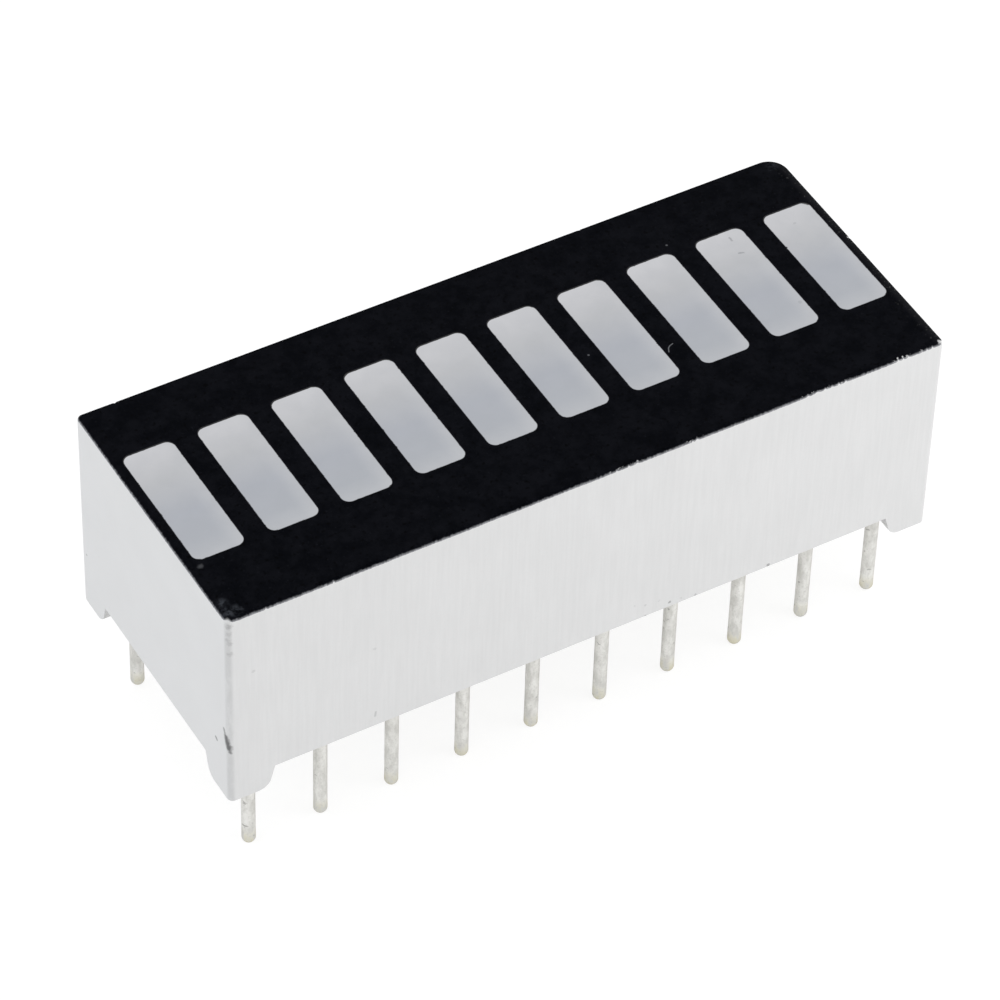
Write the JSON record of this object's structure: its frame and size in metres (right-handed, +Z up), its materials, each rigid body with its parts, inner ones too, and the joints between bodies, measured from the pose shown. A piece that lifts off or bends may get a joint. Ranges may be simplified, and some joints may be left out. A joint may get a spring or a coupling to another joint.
{
  "type": "led bar graph",
  "caption": "Oblong light bar display: flush milky windows in a black face, white moulded housing on corner feet, and round pins along both long sides.",
  "frame": {"origin": "middle of the pin grid on the seating plane, which is the plane of the foot bottoms", "axes": "+X along the row of segments towards pin 1, +Y across it towards the row of pin 1, +Z up to the face"},
  "size_m": [0.0252, 0.01, 0.0116],
  "materials": {
    "housing_white": "moulded, fine satin",
    "face_black": "printed, dull",
    "window_resin": "milky cast resin, ground flush",
    "board_laminate": "laminate",
    "copper": "etched",
    "solder": "reflowed",
    "seal_resin": "cast, self-levelled",
    "chip": "sawn",
    "gold_wire": "drawn",
    "pin_tin": "tin dipped"
  },
  "bodies": {
    "root": {"housing": "housing_white", "face_mask": "face_black", "circuit_board": "board_laminate", "board_copper": "copper", "solder_joints": "solder", "back_seal": "seal_resin", "window_lens_01": "window_resin", "window_lens_02": "window_resin", "window_lens_03": "window_resin", "window_lens_04": "window_resin", "window_lens_05": "window_resin", "window_lens_06": "window_resin", "window_lens_07": "window_resin", "window_lens_08": "window_resin", "window_lens_09": "window_resin", "window_lens_10": "window_resin", "led_chip_01": "chip", "led_chip_02": "chip", "led_chip_03": "chip", "led_chip_04": "chip", "led_chip_05": "chip", "led_chip_06": "chip", "led_chip_07": "chip", "led_chip_08": "chip", "led_chip_09": "chip", "led_chip_10": "chip", "bond_wire_01": "gold_wire", "bond_wire_02": "gold_wire", "bond_wire_03": "gold_wire", "bond_wire_04": "gold_wire", "bond_wire_05": "gold_wire", "bond_wire_06": "gold_wire", "bond_wire_07": "gold_wire", "bond_wire_08": "gold_wire", "bond_wire_09": "gold_wire", "bond_wire_10": "gold_wire", "pin_01": "pin_tin", "pin_02": "pin_tin", "pin_03": "pin_tin", "pin_04": "pin_tin", "pin_05": "pin_tin", "pin_06": "pin_tin", "pin_07": "pin_tin", "pin_08": "pin_tin", "pin_09": "pin_tin", "pin_10": "pin_tin", "pin_11": "pin_tin", "pin_12": "pin_tin", "pin_13": "pin_tin", "pin_14": "pin_tin", "pin_15": "pin_tin", "pin_16": "pin_tin", "pin_17": "pin_tin", "pin_18": "pin_tin", "pin_19": "pin_tin", "pin_20": "pin_tin"}
  },
  "joints": []
}
